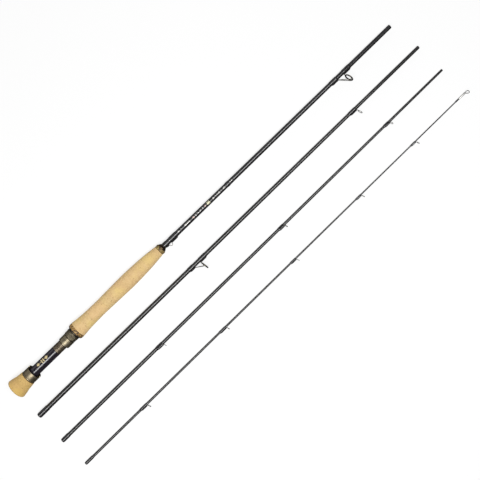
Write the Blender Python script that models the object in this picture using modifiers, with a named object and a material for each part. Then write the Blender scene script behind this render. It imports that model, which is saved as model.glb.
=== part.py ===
"""Four-piece fly rod, taken apart, its sections laid side by side.

Metres, +Z up. The sections lie along +Y with their butt ends at -Y, and they are
spread along +X from the butt section to the tip section. The origin is the middle of
the row's footprint, on the surface that the row lies on.

Each section is built along the local Z of its own axis empty: local Z runs from butt to
tip, local X points to the side that the line guides stand on, and a station is a
distance in that Z from the section's butt end.
"""
import math

import bmesh
import bpy
from mathutils import Euler, Matrix, Vector

MM = 0.001

# --- driving dimensions -------------------------------------------------------------
ROW_SHIFT = Vector((1.434 * MM, -0.065 * MM, 0.0))

# Across and along place each section's butt end, yaw turns it about the vertical, roll
# turns its guides up from the table, and droop is how far the axis falls per metre.
SECTIONS = {
    "section_1": {"across": -66.6, "butt": -357.6, "height": 14.26, "droop": 0.01263,
                  "yaw": 0.0, "roll": 0.0},
    "section_2": {"across": -19.5, "butt": -361.2, "height": 8.51, "droop": 0.00777,
                  "yaw": 0.0, "roll": 0.0},
    "section_3": {"across": 26.9, "butt": -364.2, "height": 3.17, "droop": 0.0013,
                  "yaw": 0.13, "roll": 40.0},
    "section_4": {"across": 71.3, "butt": -363.5, "height": 2.43, "droop": 0.0,
                  "yaw": 0.13, "roll": 0.0},
}

# Blanks: (station, outer radius) from butt to tip, all in mm.
BLANKS = {
    "blank_1": [(9.6, 3.9), (278.0, 3.75), (390.0, 3.45), (510.0, 3.16), (706.3, 2.9)],
    "blank_2": [(0.0, 3.5), (305.0, 2.98), (600.0, 2.4), (719.0, 2.27)],
    "blank_3": [(0.0, 2.75), (365.0, 2.15), (723.6, 1.6)],
    "blank_4": [(0.0, 1.95), (120.0, 1.75), (365.0, 1.35), (540.0, 0.98), (722.0, 0.75)],
}
BLANK_WALL = {"blank_1": 0.75, "blank_2": 0.5, "blank_3": 0.42, "blank_4": 0.3}
TIP_BORE_END = 330.0
FERRULE_WRAP = {"blank_2": 16.8, "blank_3": 12.6, "blank_4": 13.9}
BLANK_STEPS = 20

# Handle stations, in mm from the butt end.
BUTT_MAX_R = 14.2
BUTT_NECK_R = 10.8
BUTT_LENGTH = 23.4
BUTT_ROUND = 2.6
POCKET_R = 4.15
SEAT_R = 7.05
SEAT_BORE_R = 5.9
HOOD_R = 10.45
HOOD_WALL = 1.0
HOOD_BASE = 2.2
HOOD_MOUTH = 36.9
HOOD_CUT = 34.2
HOOD_CUT_ABOVE_AXIS = 1.5
BARREL_END = 76.3
SLEEVE_END = 110.8
SLIDING_HOOD = (89.8, 100.3)
SLIDING_HOOD_R = 8.75
SLIDING_HOOD_OFFSET = 0.4
LOCK_NUT = (100.6, 109.6)
GRIP_START = 117.4
GRIP_END = 269.1
GRIP_SHAPE = [(GRIP_START, 12.05), (131.0, 10.65), (145.0, 10.1), (162.0, 9.95),
              (192.0, 10.6), (212.0, 10.95), (236.0, 10.2), (254.0, 8.95),
              (GRIP_END, 7.2)]
TURNED_STEPS = 24

# Stripping guides: ring centre station, ring radius, stand-off, the feet, and how far the
# ring leans towards the tip and how far its upper edge is tilted the same way.
STRIPPING = {
    "guide_1": {"section": "section_1", "blank": "blank_1", "ring_at": 617.7,
                "ring_r": 6.4, "offset": 11.1, "lean": 12.5, "tilt": 8.0, "brace": 36.0,
                "butt_wrap": (592.7, 604.8), "tip_wrap": (616.2, 629.1)},
    "guide_2": {"section": "section_2", "blank": "blank_2", "ring_at": 303.1,
                "ring_r": 6.05, "offset": 10.1, "lean": 8.0, "tilt": 0.0, "brace": 84.0,
                "butt_wrap": (281.8, 291.6), "tip_wrap": (302.6, 314.1)},
}
RING_BAND = 1.0
RING_WIDTH = 1.5
INSERT_BAND = 0.75
STRUT_R = 0.42
FOOT_WIDTH = 2.0
FOOT_THICKNESS = 0.65

# Loop guides: wrap stations, wire diameter, loop diameter, reach from the rod's axis.
LOOPS = [
    ("loop_guide_2a", "section_2", "blank_2", (586.8, 598.6), 0.8, 7.4, 11.2),
    ("loop_guide_3a", "section_3", "blank_3", (179.3, 190.4), 0.7, 5.0, 7.6),
    ("loop_guide_3b", "section_3", "blank_3", (411.0, 421.2), 0.7, 4.9, 7.1),
    ("loop_guide_3c", "section_3", "blank_3", (612.4, 621.5), 0.7, 4.8, 7.0),
    ("loop_guide_4a", "section_4", "blank_4", (104.3, 115.8), 0.6, 4.9, 6.9),
    ("loop_guide_4b", "section_4", "blank_4", (254.7, 266.6), 0.6, 4.7, 6.3),
    ("loop_guide_4c", "section_4", "blank_4", (389.9, 400.1), 0.6, 4.6, 6.1),
    ("loop_guide_4d", "section_4", "blank_4", (514.5, 524.5), 0.6, 4.6, 6.1),
    ("loop_guide_4e", "section_4", "blank_4", (619.1, 628.7), 0.6, 4.6, 6.1),
]
LOOP_LEAN = 16.0
FOOT_START = 2.4

KEEPER_WIRE = 0.8
KEEPER_WRAPS = ((278.4, 284.4), (289.6, 302.0))
TRIM_WRAP = (395.8, 401.2)

TIP_WRAP = (704.6, 710.7)
TIP_TUBE = (711.0, 723.6)
TIP_TUBE_R = 1.12
TIP_LOOP_WIRE = 0.7
TIP_LOOP_LENGTH = 6.2
TIP_LOOP_WIDTH = 6.0
TIP_LOOP_LEAN = 45.0
TIP_LOOP_ROLL = 60.0

GAP = 0.1
JOINT_GAP = 0.3
WRAP_THICKNESS = 0.3


# --- scene, collections and materials -------------------------------------------------
for old_object in list(bpy.data.objects):
    bpy.data.objects.remove(old_object)

rod = bpy.data.collections.new("fly_rod")
cutters = bpy.data.collections.new("cutters")
bpy.context.scene.collection.children.link(rod)
bpy.context.scene.collection.children.link(cutters)


def material(name, color, roughness, metallic=0.0):
    """Principled material of one colour."""
    made = bpy.data.materials.new(name)
    made.use_nodes = True
    shader = made.node_tree.nodes["Principled BSDF"]
    shader.inputs["Base Color"].default_value = (*color, 1.0)
    shader.inputs["Roughness"].default_value = roughness
    shader.inputs["Metallic"].default_value = metallic
    return made


CORK = material("cork", (0.72, 0.46, 0.21), 0.75)
BURL = material("burl_cork", (0.17, 0.09, 0.04), 0.6)
BRONZE = material("bronze_anodised", (0.16, 0.13, 0.075), 0.32, 1.0)
BARREL = material("seat_barrel_gloss", (0.035, 0.022, 0.04), 0.15, 0.4)
GRAPHITE = material("graphite_blank", (0.02, 0.02, 0.021), 0.3)
WRAP = material("wrap_epoxy", (0.012, 0.011, 0.012), 0.12)
STEEL = material("guide_wire", (0.55, 0.54, 0.5), 0.22, 1.0)
CERAMIC = material("ceramic_ring", (0.06, 0.06, 0.065), 0.15)
FOAM = material("arbor_foam", (0.5, 0.47, 0.4), 0.9)


# --- section frames -------------------------------------------------------------------
def axis_empty(name, place):
    """Empty on a section's axis at its butt end, local Z pointing to the tip."""
    empty = bpy.data.objects.new(name + "_axis", None)
    empty.empty_display_size = 0.02
    rod.objects.link(empty)
    at = Vector((place["across"], place["butt"], place["height"])) * MM + ROW_SHIFT
    lay_down = Matrix.Rotation(math.radians(-90.0) - math.atan(place["droop"]), 4, "X")
    yaw = Matrix.Rotation(math.radians(place["yaw"]), 4, "Z")
    roll = Matrix.Rotation(math.radians(-place["roll"]), 4, "Z")
    empty.matrix_world = Matrix.Translation(at) @ yaw @ lay_down @ roll
    return empty


AXES = {name: axis_empty(name, place) for name, place in SECTIONS.items()}


# --- shape helpers --------------------------------------------------------------------
def add(name, data, mat, section, collection=None):
    """Link an object under a section's axis, or a hidden cutter in the cutters."""
    made = bpy.data.objects.new(name, data)
    made.parent = AXES[section]
    if collection is cutters:
        made.hide_render = True
        made.display_type = "WIRE"
    else:
        data.materials.append(mat)
    (collection or rod).objects.link(made)
    return made


def outline_mesh(name, outline, closed):
    """Mesh edge loop from (radius, station) pairs in mm."""
    mesh = bpy.data.meshes.new(name)
    points = [(radius * MM, 0.0, station * MM) for radius, station in outline]
    count = len(points)
    edges = [(i, (i + 1) % count) for i in range(count if closed else count - 1)]
    mesh.from_pydata(points, edges, [])
    return mesh


def turned(name, outline, mat, section, steps=TURNED_STEPS, collection=None):
    """Body of revolution about the section's axis.

    The outline runs down the outer side, tip to butt, and back up the inner side. It is
    a closed ring unless it starts and ends on the axis.
    """
    on_axis = outline[0][0] == 0.0
    made = add(name, outline_mesh(name, outline, not on_axis), mat, section, collection)
    screw = made.modifiers.new("turn", "SCREW")
    screw.axis = "Z"
    screw.angle = math.radians(360.0)
    screw.steps = steps
    screw.render_steps = steps
    screw.use_merge_vertices = True
    screw.merge_threshold = 0.00001
    screw.use_smooth_shade = True
    return made


def ring_outline(start, end, outer, inner, chamfer=0.0):
    """Closed outline of a plain ring with its outer edges chamfered."""
    if chamfer == 0.0:
        return [(outer, end), (outer, start), (inner, start), (inner, end)]
    return [(outer - chamfer, end), (outer, end - chamfer), (outer, start + chamfer),
            (outer - chamfer, start), (inner, start), (inner, end)]


def smooth_through(points, per_span):
    """Catmull-Rom curve through (station, radius) points, butt to tip."""
    padded = [points[0]] + list(points) + [points[-1]]
    made = []
    for i in range(1, len(padded) - 2):
        p0, p1, p2, p3 = (Vector(padded[i + k]) for k in (-1, 0, 1, 2))
        for step in range(per_span):
            t = step / per_span
            made.append(0.5 * (2 * p1 + (p2 - p0) * t
                               + (2 * p0 - 5 * p1 + 4 * p2 - p3) * t ** 2
                               + (3 * p1 - p0 - 3 * p2 + p3) * t ** 3))
    made.append(Vector(points[-1]))
    return [(point[0], point[1]) for point in made]


def arc(centre, radius, start, end, count):
    """(radius, station) points on an arc; angle 0 points outwards, 90 to the tip."""
    angles = [math.radians(start + (end - start) * i / count) for i in range(count + 1)]
    return [(centre[0] + radius * math.cos(a), centre[1] + radius * math.sin(a))
            for a in angles]


def blank_radius(name, station):
    """Outer radius of a blank at a station, mm."""
    shape = BLANKS[name]
    for (s0, r0), (s1, r1) in zip(shape, shape[1:]):
        if station <= s1:
            return r0 + (r1 - r0) * (station - s0) / (s1 - s0)
    return shape[-1][1]


def rod_mesh(name, start, end, radius, sides=8):
    """Straight round bar between two points in mm."""
    a = Vector(start) * MM
    b = Vector(end) * MM
    turn = (b - a).to_track_quat("Z", "Y").to_matrix().to_4x4()
    mesh = bpy.data.meshes.new(name)
    shape = bmesh.new()
    bmesh.ops.create_cone(shape, cap_ends=True, segments=sides, radius1=radius * MM,
                          radius2=radius * MM, depth=(b - a).length,
                          matrix=Matrix.Translation((a + b) / 2) @ turn)
    shape.to_mesh(mesh)
    shape.free()
    return mesh


def box_mesh(name, low, high):
    """Box between two corners in mm."""
    low = Vector(low) * MM
    high = Vector(high) * MM
    size = Matrix.Diagonal((*(high - low), 1.0))
    mesh = bpy.data.meshes.new(name)
    shape = bmesh.new()
    bmesh.ops.create_cube(shape, size=1.0,
                          matrix=Matrix.Translation((low + high) / 2) @ size)
    shape.to_mesh(mesh)
    shape.free()
    return mesh


def boolean(target, other, operation):
    """Boolean modifier with the exact solver."""
    made = target.modifiers.new(other.name, "BOOLEAN")
    made.operation = operation
    made.solver = "EXACT"
    made.object = other


def wire(name, points, diameter, mat, section):
    """Round wire through points in mm, with closed ends."""
    curve = bpy.data.curves.new(name, "CURVE")
    curve.dimensions = "3D"
    curve.bevel_depth = diameter / 2 * MM
    curve.bevel_resolution = 2
    curve.use_fill_caps = True
    spline = curve.splines.new("POLY")
    spline.points.add(len(points) - 1)
    for target, point in zip(spline.points, points):
        target.co = (*(Vector(point) * MM), 1.0)
    return add(name, curve, mat, section)


# --- blanks ---------------------------------------------------------------------------
def make_blank(name, section):
    """Tapered tube. The tip section is bored from its butt end only as far as it is
    hollow, and is solid from there on."""
    shape = BLANKS[name]
    wall = BLANK_WALL[name]
    outer = [(radius, station) for station, radius in reversed(shape)]
    if name == "blank_4":
        inner = [(shape[0][1] - wall, 0.0), (0.7, TIP_BORE_END), (0.0, TIP_BORE_END)]
        outline = [(0.0, shape[-1][0])] + outer + inner
    else:
        inner = [(radius - wall, station) for station, radius in shape]
        outline = outer + inner
    turned(name, outline, GRAPHITE, section, BLANK_STEPS)


# --- handle and reel seat ---------------------------------------------------------------
def make_fighting_butt():
    """Flared cork butt with a rounded end and a blind pocket for the blank."""
    round_centre = (BUTT_MAX_R - BUTT_ROUND, BUTT_ROUND)
    corner = arc(round_centre, BUTT_ROUND, 0.0, -90.0, 6)
    flare = smooth_through([(BUTT_ROUND, BUTT_MAX_R), (8.5, 13.15), (14.5, 11.85),
                            (BUTT_LENGTH, BUTT_NECK_R)], 2)
    outer = [(radius, station) for station, radius in reversed(flare)]
    pocket_floor = BLANKS["blank_1"][0][0] - JOINT_GAP
    outline = [(0.0, pocket_floor), (POCKET_R, pocket_floor), (POCKET_R, BUTT_LENGTH)]
    outline += outer[:-1] + corner + [(0.0, 0.0)]
    turned("fighting_butt", outline, CORK, "section_1")


def make_fixed_hood():
    """Round cup that holds one end of the reel foot, open towards the tip. Its upper side
    is cut back from the mouth."""
    base = BUTT_LENGTH + 0.2
    bore = SEAT_R + GAP
    inside = HOOD_R - HOOD_WALL
    outline = [(inside, HOOD_MOUTH), (HOOD_R - 0.7, HOOD_MOUTH),
               (HOOD_R - 0.2, HOOD_MOUTH - 0.4), (HOOD_R, HOOD_MOUTH - 1.2),
               (HOOD_R, base + 0.5), (HOOD_R - 0.5, base), (bore, base),
               (bore, base + HOOD_BASE), (inside, base + HOOD_BASE)]
    hood = turned("fixed_hood", outline, BRONZE, "section_1")
    reach = HOOD_R + 1.0
    cut = box_mesh("fixed_hood_cut", (-reach, -reach, HOOD_CUT),
                   (reach, -HOOD_CUT_ABOVE_AXIS, HOOD_MOUTH + 1.0))
    boolean(hood, add(cut.name, cut, None, "section_1", cutters), "DIFFERENCE")


def make_seat():
    """Barrel, threaded sleeve and the two arbors that centre them on the blank."""
    turned("seat_barrel", ring_outline(BUTT_LENGTH + 0.2, BARREL_END, SEAT_R,
                                       SEAT_BORE_R, 0.2), BARREL, "section_1")
    turned("threaded_sleeve", ring_outline(BARREL_END + 0.2, SLEEVE_END, SEAT_R,
                                           SEAT_BORE_R, 0.3), BRONZE, "section_1")
    for name, start in (("seat_arbor_butt", 30.0), ("seat_arbor_tip", 94.0)):
        bore = blank_radius("blank_1", start) + 0.15
        turned(name, ring_outline(start, start + 12.0, SEAT_BORE_R - GAP, bore),
               FOAM, "section_1")


def make_sliding_hood():
    """Collar with a pocket towards the butt, deepest on the side that the guides are on."""
    start, end = SLIDING_HOOD
    hood = turned("sliding_hood", [(0.0, end), (SLIDING_HOOD_R - 0.3, end),
                                   (SLIDING_HOOD_R, end - 0.3),
                                   (SLIDING_HOOD_R, start + 0.5),
                                   (SLIDING_HOOD_R - 0.5, start), (0.0, start)],
                  BRONZE, "section_1")
    hood.location.x = SLIDING_HOOD_OFFSET * MM
    pocket = turned("sliding_hood_pocket",
                    [(0.0, end - 3.2), (SLIDING_HOOD_R - 0.75, end - 3.2),
                     (SLIDING_HOOD_R - 0.75, start - 2.0), (0.0, start - 2.0)],
                    None, "section_1", collection=cutters)
    pocket.location.x = SLIDING_HOOD_OFFSET * MM
    bore = turned("sliding_hood_bore",
                  [(0.0, end + 2.0), (SEAT_R + 0.12, end + 2.0),
                   (SEAT_R + 0.12, start - 3.0), (0.0, start - 3.0)],
                  None, "section_1", collection=cutters)
    boolean(hood, pocket, "DIFFERENCE")
    boolean(hood, bore, "DIFFERENCE")


def make_lock_nut():
    """Nut behind the sliding hood, a little wider towards the grip."""
    start, end = LOCK_NUT
    bore = SEAT_R + 0.12
    turned("lock_nut", [(bore, end), (9.0, end), (9.3, end - 0.4), (9.3, end - 1.8),
                        (8.95, end - 2.2), (8.9, start + 0.4), (8.5, start),
                        (bore, start)], BRONZE, "section_1")


def make_grip():
    """Cork grip between two burl cork rings, and the metal check that ends it."""
    bore = blank_radius("blank_1", 117.0) + 0.15
    turned("grip_ring_butt", [(11.5, 117.2), (12.0, 116.4), (12.05, 114.0),
                              (11.7, 112.0), (11.2, 111.2), (bore, 111.2),
                              (bore, 117.2)], BURL, "section_1")
    shape = smooth_through(GRIP_SHAPE, 2)
    outer = [(radius, station) for station, radius in reversed(shape)]
    turned("cork_grip", outer + [(bore, GRIP_START), (bore, GRIP_END)], CORK, "section_1")
    turned("grip_ring_tip", [(7.1, 273.8), (7.4, 273.3), (7.4, 270.2), (7.2, 269.4),
                             (bore, 269.4), (bore, 273.8)], BURL, "section_1")
    check_bore = blank_radius("blank_1", 274.0) + 0.15
    turned("winding_check", [(4.05, 278.1), (4.3, 277.7), (6.3, 274.7), (6.4, 274.0),
                             (check_bore, 274.0), (check_bore, 278.1)],
           BRONZE, "section_1")


# --- thread wraps -------------------------------------------------------------------------
def wrap_mesh(name, blank, start, end, bump, half_angle, foot_from_butt, foot_from_tip):
    """Sleeve of thread and epoxy around a blank that swells over a guide's foot.

    The swelling is bump mm high within half_angle degrees of the guide's side and fades
    out over the next 36 degrees. It dies away at an end that the foot doesn't reach.
    """
    base = max(blank_radius(blank, start), blank_radius(blank, end)) + GAP

    def ring(station, lift, thickness):
        points = []
        for i in range(BLANK_STEPS):
            turn = 2 * math.pi * i / BLANK_STEPS
            off = abs(math.degrees(math.atan2(math.sin(turn), math.cos(turn))))
            swell = min(1.0, max(0.0, (half_angle + 36.0 - off) / 36.0))
            radius = base + bump * lift * swell + thickness
            points.append(Vector((radius * math.cos(turn), radius * math.sin(turn),
                                  station)) * MM)
        return points

    at_start = 0.0 if foot_from_butt else 1.0
    at_end = 0.0 if foot_from_tip else 1.0
    rise = FOOT_START - 0.3
    full = WRAP_THICKNESS
    rings = [ring(start, at_start, 0.1), ring(start + rise, 1.0, full),
             ring(end - rise, 1.0, full), ring(end, at_end, 0.12),
             ring(end, at_end, 0.0), ring(end - rise, 1.0, 0.0),
             ring(start + rise, 1.0, 0.0), ring(start, at_start, 0.0)]
    shape = bmesh.new()
    loops = [[shape.verts.new(point) for point in points] for points in rings]
    for k, loop in enumerate(loops):
        following = loops[(k + 1) % len(loops)]
        for i in range(BLANK_STEPS):
            j = (i + 1) % BLANK_STEPS
            shape.faces.new((loop[i], loop[j], following[j], following[i]))
    bmesh.ops.recalc_face_normals(shape, faces=shape.faces)
    mesh = bpy.data.meshes.new(name)
    shape.to_mesh(mesh)
    shape.free()
    mesh.shade_smooth()
    mesh.set_sharp_from_angle(angle=math.radians(50.0))
    return mesh


def plain_wrap(name, blank, section, start, end, mat, thickness):
    """Thread wrap with no foot under it."""
    inner = blank_radius(blank, start) + GAP
    outer = inner + thickness
    turned(name, ring_outline(start, end, outer, inner, min(0.2, thickness * 0.6)),
           mat, section, BLANK_STEPS)


# --- guides ---------------------------------------------------------------------------------
def foot_seat(blank, start, end, wire_r, half_gap):
    """Height of a wire foot's centre above the axis so that it lies on the blank."""
    radius = max(blank_radius(blank, start), blank_radius(blank, end))
    reach = radius + GAP + wire_r
    return math.sqrt(reach ** 2 - half_gap ** 2)


def make_loop_guide(name, section, blank, wrap, wire_d, loop_d, reach):
    """Single-foot wire guide: two wire ends side by side on the blank rise into a loop."""
    start, end = wrap
    wire_r = wire_d / 2
    half_gap = wire_r + 0.12
    foot_x = foot_seat(blank, start, end, wire_r, half_gap)
    loop_r = loop_d / 2 - wire_r
    lean = math.radians(LOOP_LEAN)
    centre_x = reach - wire_r - loop_r * math.cos(lean)
    centre_z = end + 0.9 + loop_r * math.sin(lean)
    open_angle = math.asin(half_gap / loop_r)
    turns = 14
    loop = []
    for i in range(turns + 1):
        angle = open_angle + (2 * math.pi - 2 * open_angle) * i / turns
        along = -loop_r * math.cos(angle)
        loop.append((centre_x + along * math.cos(lean), -loop_r * math.sin(angle),
                     centre_z + along * math.sin(lean)))
    neck_x = (foot_x * 2 + loop[0][0]) / 3
    foot = [(foot_x, -half_gap, start + FOOT_START), (foot_x, -half_gap, end + 0.15),
            (neck_x, -half_gap, end + 0.62)]
    back = [(x, -y, z) for x, y, z in reversed(foot)]
    wire(name, foot + loop + back, wire_d, STEEL, section)
    side = math.degrees(math.asin(half_gap / (foot_x + wire_r))
                        + math.asin(wire_r / (foot_x + wire_r)))
    mesh = wrap_mesh(name + "_wrap", blank, start, end, wire_d + 0.12, side, True, False)
    add(name + "_wrap", mesh, WRAP, section)


def make_stripping_guide(name, spec):
    """Two-foot guide: a leaning ring, a short foot towards the tip and a V brace."""
    section = spec["section"]
    blank = spec["blank"]
    lean = math.radians(spec["lean"])
    centre = Vector((spec["offset"], 0.0, spec["ring_at"]))
    tilt = math.radians(spec["tilt"])
    turn = Euler((-tilt, -lean, 0.0)).to_matrix()
    out, across, facing = turn.col
    ring_r = spec["ring_r"]
    half = RING_WIDTH / 2
    mid_r = ring_r - RING_BAND / 2
    edge_r = ring_r - 0.25
    ring = turned(name + "_frame", [(ring_r - 0.25, half), (ring_r, half - 0.3),
                                    (ring_r, 0.3 - half), (ring_r - 0.25, -half),
                                    (ring_r - RING_BAND, -half),
                                    (ring_r - RING_BAND, half)], STEEL, section)
    ring.location = centre * MM
    ring.rotation_euler = turn.to_euler()
    butt_start, butt_end = spec["butt_wrap"]
    tip_start, tip_end = spec["tip_wrap"]
    brace = math.radians(spec["brace"])
    surface = blank_radius(blank, butt_start) + GAP
    foot_top = surface + FOOT_THICKNESS
    base = Vector((surface + FOOT_THICKNESS / 2, 0.0, butt_end + 0.4))
    parts = []
    for side in (-1.0, 1.0):
        end = centre + out * (edge_r * math.cos(brace)) - facing * 0.45
        end += across * (side * edge_r * math.sin(brace))
        start = base + Vector((0.0, side * 0.6, 0.0))
        parts.append(rod_mesh(f"{name}_brace_{side:+.0f}", start, end, STRUT_R))
    parts.append(box_mesh(name + "_butt_foot",
                          (surface, -FOOT_WIDTH / 2, butt_start + FOOT_START),
                          (foot_top, FOOT_WIDTH / 2, butt_end + 0.8)))
    inner_end = centre - out * mid_r
    landing = tip_start - 0.8
    parts.append(rod_mesh(name + "_stub", inner_end,
                          (surface + FOOT_THICKNESS / 2, 0.0, landing), 0.55))
    parts.append(box_mesh(name + "_tip_foot",
                          (surface, -FOOT_WIDTH / 2, landing - 0.7),
                          (foot_top, FOOT_WIDTH / 2, tip_end - FOOT_START)))
    for mesh in parts:
        boolean(ring, add(mesh.name, mesh, None, section, cutters), "UNION")
    insert_r = ring_r - RING_BAND - GAP
    insert = turned(name + "_insert",
                    [(insert_r - 0.15, 0.75), (insert_r, 0.6), (insert_r, -0.6),
                     (insert_r - 0.15, -0.75), (insert_r - INSERT_BAND, -0.4),
                     (insert_r - INSERT_BAND, 0.4)], CERAMIC, section)
    insert.location = centre * MM
    insert.rotation_euler = turn.to_euler()
    side = math.degrees(math.atan(FOOT_WIDTH / 2 / foot_top)) + 3.0
    bump = FOOT_THICKNESS + 0.25
    for end_name, wrap, ends in (("butt", spec["butt_wrap"], (True, False)),
                                 ("tip", spec["tip_wrap"], (False, True))):
        mesh = wrap_mesh(f"{name}_{end_name}_wrap", blank, wrap[0], wrap[1], bump, side,
                         *ends)
        add(mesh.name, mesh, WRAP, section)


def make_hook_keeper():
    """Small wire staple beside the grip, its two feet under two short wraps."""
    wire_r = KEEPER_WIRE / 2
    (butt_start, butt_end), (tip_start, tip_end) = KEEPER_WRAPS
    foot_x = foot_seat("blank_1", butt_start, tip_end, wire_r, 0.0)
    middle = (butt_end + tip_start) / 2
    half = (tip_start - butt_end) / 2 - 0.55
    arch = [(foot_x + 0.7 + 2.3 * math.sin(a), 0.0, middle - half * math.cos(a))
            for a in (math.pi * i / 8 for i in range(9))]
    points = [(foot_x, 0.0, butt_start + FOOT_START), (foot_x, 0.0, butt_end + 0.1)]
    points += arch + [(foot_x, 0.0, tip_start - 0.1), (foot_x, 0.0, tip_end - 6.0)]
    wire("hook_keeper", points, KEEPER_WIRE, STEEL, "section_1")
    side = math.degrees(math.asin(wire_r / foot_x)) + 3.0
    for name, wrap, ends in (("keeper_butt_wrap", KEEPER_WRAPS[0], (True, False)),
                             ("keeper_tip_wrap", KEEPER_WRAPS[1], (False, True))):
        mesh = wrap_mesh(name, "blank_1", wrap[0], wrap[1], KEEPER_WIRE + 0.15, side,
                         *ends)
        add(name, mesh, WRAP, "section_1")


def make_tip_top():
    """Tube over the tip of the blank with a pear-shaped wire loop brazed to its end."""
    start, end = TIP_TUBE
    bore = blank_radius("blank_4", start) + 0.14
    tube = turned("tip_top", [(0.0, end), (TIP_TUBE_R - 0.2, end),
                              (TIP_TUBE_R, end - 0.3), (TIP_TUBE_R, start),
                              (bore, start), (bore, end - 1.3), (0.0, end - 1.3)],
                  STEEL, "section_4", 12)
    roll = math.radians(TIP_LOOP_ROLL)
    lean = math.radians(TIP_LOOP_LEAN)
    side = Vector((math.cos(roll), -math.sin(roll), 0.0))
    ahead = Vector((0.0, 0.0, math.cos(lean))) + side * math.sin(lean)
    across = Vector((math.sin(roll), math.cos(roll), 0.0))
    root = Vector((0.0, 0.0, end - 0.5))
    turns = 16
    points = []
    for i in range(turns + 1):
        angle = 2 * math.pi * i / turns
        ahead_by = TIP_LOOP_LENGTH / 2 * (1 - math.cos(angle))
        pear = math.sin(angle) * (0.62 - 0.38 * math.cos(angle))
        points.append(root + ahead * ahead_by + across * (TIP_LOOP_WIDTH / 2 * pear))
    points = points[1:-1]
    points.insert(0, root - across * 0.25)
    points.append(root + across * 0.25)
    loop = wire("tip_top_loop", points, TIP_LOOP_WIRE, STEEL, "section_4")
    bpy.context.view_layer.update()
    solid = as_mesh(loop, cutters)
    boolean(tube, solid, "UNION")
    plain_wrap("tip_top_wrap", "blank_4", "section_4", *TIP_WRAP, WRAP, 0.25)


def as_mesh(curve_object, collection):
    """Replace a curve object by a mesh object with welded caps."""
    evaluated = curve_object.evaluated_get(bpy.context.evaluated_depsgraph_get())
    mesh = bpy.data.meshes.new_from_object(evaluated)
    shape = bmesh.new()
    shape.from_mesh(mesh)
    bmesh.ops.remove_doubles(shape, verts=shape.verts, dist=0.000001)
    shape.to_mesh(mesh)
    shape.free()
    made = bpy.data.objects.new(curve_object.name + "_mesh", mesh)
    made.matrix_world = curve_object.matrix_world.copy()
    made.hide_render = True
    made.display_type = "WIRE"
    collection.objects.link(made)
    bpy.data.objects.remove(curve_object)
    return made


# --- build --------------------------------------------------------------------------------
for number in (1, 2, 3, 4):
    make_blank(f"blank_{number}", f"section_{number}")
make_fighting_butt()
make_fixed_hood()
make_seat()
make_sliding_hood()
make_lock_nut()
make_grip()
make_hook_keeper()
plain_wrap("trim_wrap", "blank_1", "section_1", *TRIM_WRAP, WRAP, 0.25)
for number in (2, 3, 4):
    plain_wrap(f"ferrule_wrap_{number}", f"blank_{number}", f"section_{number}", 0.3,
               FERRULE_WRAP[f"blank_{number}"], WRAP, WRAP_THICKNESS)
for guide_name, guide in STRIPPING.items():
    make_stripping_guide(guide_name, guide)
for loop_guide in LOOPS:
    make_loop_guide(*loop_guide)
make_tip_top()
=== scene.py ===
"""Looks of a four-piece fly rod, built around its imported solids.

Pieces are made in millimetres in the frame of their own section: x points to the side that
the line guides stand on, z runs from butt to tip, and y points down to the floor where the
guides lie level. A station is a distance in z from the section's butt end.
"""
import math

import bmesh
import bpy
from mathutils import Euler, Matrix, Vector, noise


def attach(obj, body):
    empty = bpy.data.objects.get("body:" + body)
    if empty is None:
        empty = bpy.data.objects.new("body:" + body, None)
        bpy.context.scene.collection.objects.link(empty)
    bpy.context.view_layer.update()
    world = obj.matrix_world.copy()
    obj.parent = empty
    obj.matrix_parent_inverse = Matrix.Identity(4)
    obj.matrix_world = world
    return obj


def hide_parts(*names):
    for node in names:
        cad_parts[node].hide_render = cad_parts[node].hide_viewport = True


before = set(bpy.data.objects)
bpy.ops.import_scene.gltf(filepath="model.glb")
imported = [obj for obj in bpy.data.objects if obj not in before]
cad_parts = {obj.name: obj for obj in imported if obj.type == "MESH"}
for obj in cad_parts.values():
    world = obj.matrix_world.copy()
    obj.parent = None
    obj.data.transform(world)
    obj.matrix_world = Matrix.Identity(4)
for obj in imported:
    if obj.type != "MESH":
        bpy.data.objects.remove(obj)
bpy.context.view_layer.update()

MM = 0.001
TAU = 2 * math.pi
UP = -90.0  # angle of the side that faces straight up, in a section's own frame

# --- dimensions, in mm, the same as the solids' ---
BLANKS = {
    "blank_1": [(9.6, 3.9), (278.0, 3.75), (390.0, 3.45), (510.0, 3.16), (706.3, 2.9)],
    "blank_2": [(0.0, 3.5), (305.0, 2.98), (600.0, 2.4), (719.0, 2.27)],
    "blank_3": [(0.0, 2.75), (365.0, 2.15), (723.6, 1.6)],
    "blank_4": [(0.0, 1.95), (120.0, 1.75), (365.0, 1.35), (540.0, 0.98), (722.0, 0.75)],
}
BLANK_WALL = {"blank_1": 0.75, "blank_2": 0.5, "blank_3": 0.42, "blank_4": 0.3}
TIP_BORE_END = 330.0
FERRULE_WRAP = {"blank_2": 16.8, "blank_3": 12.6, "blank_4": 13.9}

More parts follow.
